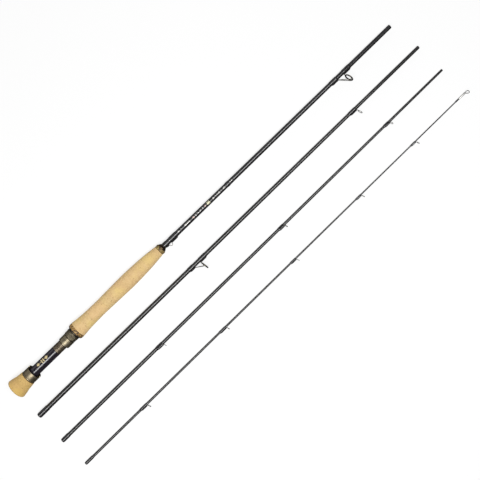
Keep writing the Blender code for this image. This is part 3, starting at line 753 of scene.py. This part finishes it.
def make_sliding_hood():
    """Collar set off towards the guides' side, with two turned grooves and a pocket."""
    start, end = SLIDING_HOOD
    off = 0.4
    wide = SLIDING_HOOD_R
    groove = wide - 0.22
    outside = [(wide - 0.3, end), (wide, end - 0.3), (wide, end - 1.6),
               (groove, end - 1.8), (groove, end - 2.15), (wide, end - 2.35),
               (wide, end - 3.4), (groove, end - 3.6), (groove, end - 3.95),
               (wide, end - 4.15), (wide, start + 1.9), (groove, start + 1.75),
               (groove, start + 1.45), (wide - 0.04, start + 1.3),
               (wide - 0.04, start + 0.45), (wide - 0.45, start)]
    inside = [(wide - 0.75, start + 0.2, off), (wide - 0.75, end - 3.2, off),
              (SEAT_R + SLIDING_GAP, end - 3.2, 0.0), (SEAT_R + SLIDING_GAP, end, 0.0)]
    profile = [(r, s, off) for r, s in outside] + inside
    steps = 112
    build = bmesh.new()
    skin(build, [circle(radius, station, steps, shift)
                 for radius, station, shift in profile])
    piece("sliding_hood_look", build, 1, SLIDING_METAL, "bronze_anodised",
          ("sliding_hood",), "sliding_hood")


def make_lock_nut():
    """Nut with a coin-edge grip around its wide band."""
    start, end = LOCK_NUT
    bore = SEAT_R + SLIDING_GAP
    teeth = 54

    def coin_edge(radius, station, angle):
        if radius < 8.8:
            return radius
        inside = ease((station - start - 0.9) / 0.5) * ease((end - 0.9 - station) / 0.5)
        return radius - 0.2 * inside * (0.5 - 0.5 * math.cos(angle * teeth)) ** 0.7
    outer = [(8.95, end), (9.3, end - 0.35)]
    outer += [(9.3, end - 0.35 - 0.25 * i) for i in range(1, 13)]
    outer += [(9.2, end - 3.7), (9.0, end - 3.95)]
    outer += [(9.0, end - 3.95 - 0.3 * i) for i in range(1, 14)]
    outer += [(8.95, start + 0.5), (8.5, start)]
    turned_piece("lock_nut_look", outer + [(bore, start), (bore, end)], teeth * 6, 1,
                 NUT_METAL, "bronze_anodised", coin_edge, body="lock_nut", sharp=50.0)


# --- wraps ---
def wrap_rings(blank, start, end, thick, bump, half_angle, foot_from_butt, foot_from_tip):
    """Epoxied wrap: a skin that swells over a foot and thins to each end."""
    steps = 48
    low = start + 0.02
    stations = [start + (end - start) * i / 40 for i in range(41)]
    outer = []
    for station in stations:
        near = min(station - low, end - station)
        coat = 0.06 + (thick - 0.06) * ease(near / 1.3) ** 0.6
        lift_butt = ease((station - start - 0.6) / 2.4) if foot_from_butt else 1.0
        lift_tip = ease((end - station - 0.6) / 2.4) if foot_from_tip else 1.0
        lift = bump * lift_butt * lift_tip
        base = blank_radius(blank, station) + GAP * 0.6
        ring = []
        for i in range(steps):
            angle = TAU * i / steps
            off = abs(math.degrees(math.atan2(math.sin(angle), math.cos(angle))))
            swell = ease((half_angle + 42.0 - off) / 44.0)
            radius = base + lift * swell + coat
            ring.append(Vector((radius * math.cos(angle), radius * math.sin(angle),
                                station)))
        outer.append(ring)
    return outer + [circle(blank_radius(blank, station) + 0.02, station, steps)
                    for station in (end, start)]


def make_wrap(node, blank, span, thick=WRAP_THICKNESS, bump=0.0, half_angle=0.0,
              feet=(False, False)):
    build = bmesh.new()
    skin(build, wrap_rings(blank, *span, thick, bump, half_angle, *feet))
    section = int(blank[-1])
    piece(node + "_look", build, section, WRAP, "wrap", (node,), sharp=70.0)


# --- guides ---
def foot_seat(blank, start, end, wire_r, half_gap):
    """Height of a wire foot's centre above the axis so that it lies on the blank."""
    radius = max(blank_radius(blank, start), blank_radius(blank, end))
    return math.sqrt((radius + GAP + wire_r) ** 2 - half_gap ** 2)


def make_loop_guide(name, section, wrap, wire_d, loop_d, reach):
    """Single-foot wire guide, one wire bent to a loop with its ends side by side."""
    blank = f"blank_{section}"
    start, end = wrap
    wire_r = wire_d / 2
    half_gap = wire_r + 0.12
    foot_x = foot_seat(blank, start, end, wire_r, half_gap)
    loop_r = loop_d / 2 - wire_r
    lean = math.radians(LOOP_LEAN)
    centre_x = reach - wire_r - loop_r * math.cos(lean)
    centre_z = end + 0.9 + loop_r * math.sin(lean)
    open_angle = math.asin(half_gap / loop_r)
    loop = []
    turns = 28
    for i in range(turns + 1):
        angle = open_angle + (TAU - 2 * open_angle) * i / turns
        along = -loop_r * math.cos(angle)
        loop.append(Vector((centre_x + along * math.cos(lean),
                            -loop_r * math.sin(angle),
                            centre_z + along * math.sin(lean))))
    neck_x = (foot_x * 2 + loop[0].x) / 3
    foot = [Vector(p) for p in ((foot_x, -half_gap, start + FOOT_START),
                                (foot_x, -half_gap, end - 1.2),
                                (foot_x, -half_gap, end + 0.15),
                                (neck_x, -half_gap, end + 0.62))]
    back = [Vector((p.x, -p.y, p.z)) for p in reversed(foot)]
    path = curve_through(foot + loop + back, 3)
    build = bmesh.new()
    swept(build, path, wire_r, 14)
    piece(name + "_look", build, section, CHROME, "guide_wire", (name,), sharp=60.0)
    side = math.degrees(math.asin(half_gap / (foot_x + wire_r))
                        + math.asin(wire_r / (foot_x + wire_r)))
    make_wrap(name + "_wrap", blank, wrap, bump=wire_d + 0.05, half_angle=side,
              feet=(True, False))


def make_stripping_guide(name, spec):
    """Two-foot guide: rolled ring, ceramic insert, short tip foot and a V brace."""
    section = spec["section"]
    blank = f"blank_{section}"
    lean = math.radians(spec["lean"])
    centre = Vector((spec["offset"], 0.0, spec["ring_at"]))
    turn = Euler((-math.radians(spec["tilt"]), -lean, 0.0)).to_matrix()
    out, across, facing = turn.col
    side_on = Vector((0.0, 1.0, 0.0))
    ring_r = spec["ring_r"]

    def leaning(rings):
        return [[centre + out * p.x + across * p.y + facing * p.z for p in ring]
                for ring in rings]
    band = [(ring_r - 0.3, 0.75), (ring_r, 0.45), (ring_r, -0.45), (ring_r - 0.3, -0.75),
            (ring_r - RING_BAND, -0.75), (ring_r - RING_BAND, 0.75)]
    build = bmesh.new()
    skin(build, leaning(turned(rounded(band, 0.22, 3), 80)))
    butt_start, butt_end = spec["butt_wrap"]
    tip_start, tip_end = spec["tip_wrap"]
    surface = blank_radius(blank, butt_start) + GAP
    foot_x = surface + FOOT_THICKNESS / 2
    brace = math.radians(spec["brace"])
    edge_r = ring_r - 0.3
    for side in (-1.0, 1.0):
        end = centre + out * (edge_r * math.cos(brace)) - facing * 0.35
        end += across * (side * edge_r * math.sin(brace))
        low = Vector((foot_x, side * 0.62, butt_end - 0.6))
        bend = Vector((foot_x + 0.12, side * 0.68, butt_end + 0.35))
        path = curve_through([low, bend, bend.lerp(end, 0.33), bend.lerp(end, 0.67), end],
                             6)
        swept(build, path, 0.46, 12)
    landing = tip_start - 0.8
    tip_x = blank_radius(blank, tip_start) + GAP + FOOT_THICKNESS / 2
    stub = [centre - out * (ring_r - 0.4), Vector((tip_x + 0.1, 0.0, landing)),
            Vector((tip_x, 0.0, tip_start + 1.2)), Vector((tip_x, 0.0, tip_end - 4.0)),
            Vector((tip_x - 0.1, 0.0, tip_end - FOOT_START - 0.3))]
    swept(build, curve_through(stub, 6), [0.62] * 8 + [0.8] * 9 + [0.7] * 6 + [0.5, 0.35],
          16, 0.55, side_on)
    feet = [Vector((foot_x, 0.0, butt_end + 0.6)), Vector((foot_x, 0.0, butt_end - 2.0)),
            Vector((foot_x - 0.1, 0.0, butt_start + FOOT_START + 0.3))]
    swept(build, curve_through(feet, 6), [0.95] * 7 + [0.8] * 4 + [0.5, 0.35], 16, 0.36,
          side_on)
    piece(name + "_frame_look", build, section, FRAME_METAL, "guide_wire",
          (name + "_frame",), sharp=60.0)

    insert_r = ring_r - RING_BAND - 0.02
    hole_r = insert_r - 0.83
    bead = [(hole_r + 0.42 + 0.42 * math.cos(a), 0.86 * math.sin(a))
            for a in (TAU * i / 16 for i in range(16))]
    ring = bmesh.new()
    skin(ring, leaning(turned(bead, 80)))
    piece(name + "_insert_look", ring, section, CERAMIC, "ceramic", (name + "_insert",),
          sharp=70.0)
    side = math.degrees(math.atan(1.0 / (surface + FOOT_THICKNESS))) + 3.0
    for end_name, span, feet in (("butt", spec["butt_wrap"], (True, False)),
                                 ("tip", spec["tip_wrap"], (False, True))):
        make_wrap(f"{name}_{end_name}_wrap", blank, span, bump=FOOT_THICKNESS + 0.16,
                  half_angle=side, feet=feet)


def make_hook_keeper():
    wire_r = KEEPER_WIRE / 2
    (butt_start, butt_end), (tip_start, tip_end) = KEEPER_WRAPS
    foot_x = foot_seat("blank_1", butt_start, tip_end, wire_r, 0.0)
    middle = (butt_end + tip_start) / 2
    half = (tip_start - butt_end) / 2 - 0.55
    arch = [(foot_x + 0.7 + 2.3 * math.sin(a), 0.0, middle - half * math.cos(a))
            for a in (math.pi * i / 10 for i in range(11))]
    points = [(foot_x, 0.0, butt_start + FOOT_START), (foot_x, 0.0, butt_end + 0.1)]
    points += arch + [(foot_x, 0.0, tip_start - 0.1), (foot_x, 0.0, tip_end - 6.0)]
    build = bmesh.new()
    swept(build, curve_through(points, 4), wire_r, 14)
    piece("hook_keeper_look", build, 1, CHROME, "guide_wire", ("hook_keeper",), sharp=60.0)
    side = math.degrees(math.asin(wire_r / foot_x)) + 3.0
    make_wrap("keeper_butt_wrap", "blank_1", KEEPER_WRAPS[0], bump=KEEPER_WIRE + 0.05,
              half_angle=side, feet=(True, False))
    make_wrap("keeper_tip_wrap", "blank_1", KEEPER_WRAPS[1], bump=KEEPER_WIRE + 0.05,
              half_angle=side, feet=(False, True))


def make_tip_top():
    """Tube, braze and pear-shaped loop at the very tip."""
    start, end = TIP_TUBE
    bore = blank_radius("blank_4", start) + 0.14
    outline = [(0.0, end), (0.6, end - 0.02), (0.9, end - 0.14), (TIP_TUBE_R - 0.02, end - 0.42),
               (TIP_TUBE_R, end - 0.8), (TIP_TUBE_R, start + 0.1),
               (TIP_TUBE_R - 0.07, start), (bore, start),
               (bore, end - 1.3), (0.0, end - 1.3)]
    turned_piece("tip_top_look", outline, 32, 4, TUBE_METAL, "guide_wire", sharp=55.0)
    build = bmesh.new()
    roll = math.radians(60.0)
    lean = math.radians(45.0)
    side = Vector((math.cos(roll), -math.sin(roll), 0.0))
    ahead = Vector((0.0, 0.0, math.cos(lean))) + side * math.sin(lean)
    across = Vector((math.sin(roll), math.cos(roll), 0.0))
    root = Vector((0.0, 0.0, end - 0.5))
    points = [root - across * 0.25]
    for i in range(1, 24):
        angle = TAU * i / 24
        pear = math.sin(angle) * (0.62 - 0.38 * math.cos(angle))
        points.append(root + ahead * (3.1 * (1 - math.cos(angle))) + across * (3.0 * pear))
    points.append(root + across * 0.25)
    swept(build, curve_through(points, 3), 0.45, 14)
    piece("tip_loop_look", build, 4, LOOP_METAL, "guide_wire", sharp=55.0)
    make_wrap("tip_top_wrap", "blank_4", TIP_WRAP, THIN_WRAP)


# --- markings ---
def mark(build, radius_at, station, length, width, angle, kind, slant):
    """Thin plate on a round surface: a diamond or a bar."""
    rows = 13
    columns = 7
    top = []
    for i in range(rows):
        v = -1.0 + 2.0 * i / (rows - 1)
        along = station + v * length / 2
        half = width / 2 * (max(0.04, 1.0 - abs(v)) if kind == "diamond" else 1.0)
        row = []
        for j in range(columns):
            u = -1.0 + 2.0 * j / (columns - 1)
            reach = u * half + slant * v * length / 2
            row.append((along, reach))
        top.append(row)
    layers = []
    for lift in (MARK_LIFT, MARK_SINK):
        layer = []
        for row in top:
            points = []
            for along, reach in row:
                radius = radius_at(along) + lift
                turn = math.radians(angle) + reach / radius
                points.append(build.verts.new(Vector((radius * math.cos(turn),
                                                      radius * math.sin(turn),
                                                      along)) * MM))
            layer.append(points)
        layers.append(layer)
    upper, lower = layers
    for i in range(rows - 1):
        for j in range(columns - 1):
            for layer in layers:
                build.faces.new((layer[i][j], layer[i][j + 1], layer[i + 1][j + 1],
                                 layer[i + 1][j]))
    rim = [(0, j) for j in range(columns)] + [(i, columns - 1) for i in range(1, rows)]
    rim += [(rows - 1, j) for j in range(columns - 2, -1, -1)]
    rim += [(i, 0) for i in range(rows - 2, 0, -1)]
    for (i0, j0), (i1, j1) in zip(rim, rim[1:] + rim[:1]):
        build.faces.new((upper[i0][j0], upper[i1][j1], lower[i1][j1], lower[i0][j0]))


def make_markings():
    """Generic ornament in place of printed words: diamonds, bars and a block."""
    def on_blank(station):
        return blank_radius("blank_1", station)

    def on_barrel(station):
        return SEAT_R
    sets = {
        "blank_marks_pearl": (PEARL_FOIL, on_blank, [
            (283.0, 2.2, 1.4, UP, "diamond", 0.0), (289.8, 3.0, 2.4, UP, "diamond", 0.0),
            (298.4, 1.8, 1.2, UP, "diamond", 0.0), (306.4, 3.4, 2.8, UP, "diamond", 0.0),
            (311.2, 1.6, 1.2, UP, "diamond", 0.0),
            *[(318.2 + 2.0 * i, 1.8, 1.9, UP, "bar", 0.4) for i in range(5)],
            (338.3, 1.0, 2.6, UP, "bar", 0.0), (342.6, 2.8, 1.0, UP, "bar", 0.7),
            (347.2, 2.8, 1.0, UP, "bar", -0.7), (351.6, 1.0, 2.6, UP, "bar", 0.0),
            (371.3, 4.2, 2.6, UP, "diamond", 0.0), (375.4, 1.8, 0.9, UP, "bar", 0.7),
            (378.2, 2.2, 1.7, UP, "diamond", 0.0), (382.2, 4.6, 2.6, UP, "diamond", 0.0),
            (386.4, 1.6, 1.1, UP, "diamond", 0.0), (391.4, 4.8, 2.8, UP, "diamond", 0.0),
            (403.0, 1.4, 1.2, UP, "bar", 0.0), (405.6, 1.6, 1.2, UP, "bar", 0.0)]),
        "blank_marks_copper": (COPPER_FOIL, on_blank, [
            (334.1, 4.2, 3.2, UP, "diamond", 0.0), (356.2, 3.4, 2.8, UP, "diamond", 0.0)]),
        "blank_marks_gold": (PALE_GOLD_FOIL, on_blank, [
            (362.1, 5.0, 4.0, UP, "bar", 0.0)]),
        "barrel_emblem": (GOLD_FOIL, on_barrel, [
            (47.4, 5.4, 4.4, UP - 22.0, "diamond", 0.0),
            (51.4, 1.6, 1.4, UP - 22.0, "diamond", 0.0),
            (54.0, 1.7, 5.4, UP - 22.0, "bar", 0.55),
            (57.0, 1.7, 5.4, UP - 22.0, "bar", 0.55),
            (62.0, 5.8, 4.8, UP - 22.0, "diamond", 0.0)]),
    }
    for name, (mat, radius_at, marks) in sets.items():
        build = bmesh.new()
        for station, length, width, angle, kind, slant in marks:
            mark(build, radius_at, station, length, width, angle, kind, slant)
        piece(name, build, 1, mat, "wrap", sharp=30.0)


# --- build ---
for number in BODIES:
    make_blank(number)
make_cork()
make_end_rings()
make_fixed_hood()
make_seat_tubes()
make_sliding_hood()
make_lock_nut()
make_hook_keeper()
make_wrap("trim_wrap", "blank_1", TRIM_WRAP, THIN_WRAP)
for blank_name, wrap_end in FERRULE_WRAP.items():
    make_wrap("ferrule_wrap_" + blank_name[-1], blank_name, (0.3, wrap_end))
for guide_name, guide in STRIPPING.items():
    make_stripping_guide(guide_name, guide)
for loop_guide in LOOPS:
    make_loop_guide(*loop_guide)
make_tip_top()
make_markings()
for hidden in ("seat_arbor_butt", "seat_arbor_tip"):
    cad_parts[hidden].data.materials.clear()
    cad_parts[hidden].data.materials.append(FOAM)


# --- floor, light and camera ---
CAMERA_HEIGHT = 0.95
CAMERA_LENS = 52.1
CAMERA_TURN = 45.78
CAMERA_AT = (0.00083, -0.000065)
FLOOR_SIZE = 8.0
WORLD_STRENGTH = 0.06  # what lights the rods; seen directly, the world is white


def make_floor():
    floor = Nodes("floor_white")
    cloud = floor.noise(0.002, 2.0)
    floor.finish(floor.mix(cloud, (0.21, 0.21, 0.21), (0.23, 0.23, 0.23)), 0.9)
    floor.shader.inputs["Emission Color"].default_value = (1.0, 1.0, 1.0, 1.0)
    floor.shader.inputs["Emission Strength"].default_value = 0.76
    half = FLOOR_SIZE / 2
    mesh = bpy.data.meshes.new("floor")
    mesh.from_pydata([(-half, -half, -0.0003), (half, -half, -0.0003),
                      (half, half, -0.0003), (-half, half, -0.0003)], [], [(0, 1, 2, 3)])
    mesh.materials.append(floor.material)
    made = bpy.data.objects.new("floor", mesh)
    bpy.context.scene.collection.objects.link(made)
    made.visible_glossy = False


def area_light(name, at, size, power):
    """Soft box aimed at the origin, with its second side along Y."""
    data = bpy.data.lights.new(name, "AREA")
    data.shape = "RECTANGLE"
    data.size, data.size_y = size
    data.energy = power
    lamp = bpy.data.objects.new(name, data)
    bpy.context.scene.collection.objects.link(lamp)
    lamp.location = at
    lamp.visible_camera = False
    lamp.rotation_euler = (0.0, math.atan2(at[0], at[2]), 0.0)


def make_stage():
    make_floor()
    world = bpy.data.worlds.new("soft_grey")
    world.use_nodes = True
    sky = world.node_tree.nodes["Background"].inputs
    sky["Color"].default_value = (1.0, 1.0, 1.0, 1.0)
    seen = world.node_tree.nodes.new("ShaderNodeLightPath").outputs["Is Camera Ray"]
    strength = world.node_tree.nodes.new("ShaderNodeMath")
    strength.operation = "MAXIMUM"
    world.node_tree.links.new(seen, strength.inputs[0])
    strength.inputs[1].default_value = WORLD_STRENGTH
    world.node_tree.links.new(strength.outputs[0], sky["Strength"])
    bpy.context.scene.world = world
    area_light("overhead", (0.2, -0.15, 1.3), (0.46, 1.6), 22.5)
    area_light("side", (-1.3, 0.0, 0.55), (1.0, 2.2), 4.0)
    data = bpy.data.cameras.new("camera")
    data.lens = CAMERA_LENS
    data.sensor_width = 36.0
    data.clip_start = 0.01
    data.clip_end = 50.0
    camera = bpy.data.objects.new("camera", data)
    bpy.context.scene.collection.objects.link(camera)
    camera.location = (*CAMERA_AT, CAMERA_HEIGHT)
    camera.rotation_euler = (0.0, 0.0, math.radians(CAMERA_TURN))
    bpy.context.scene.camera = camera
    bpy.context.scene.view_settings.view_transform = "Standard"


make_stage()
bpy.context.view_layer.update()
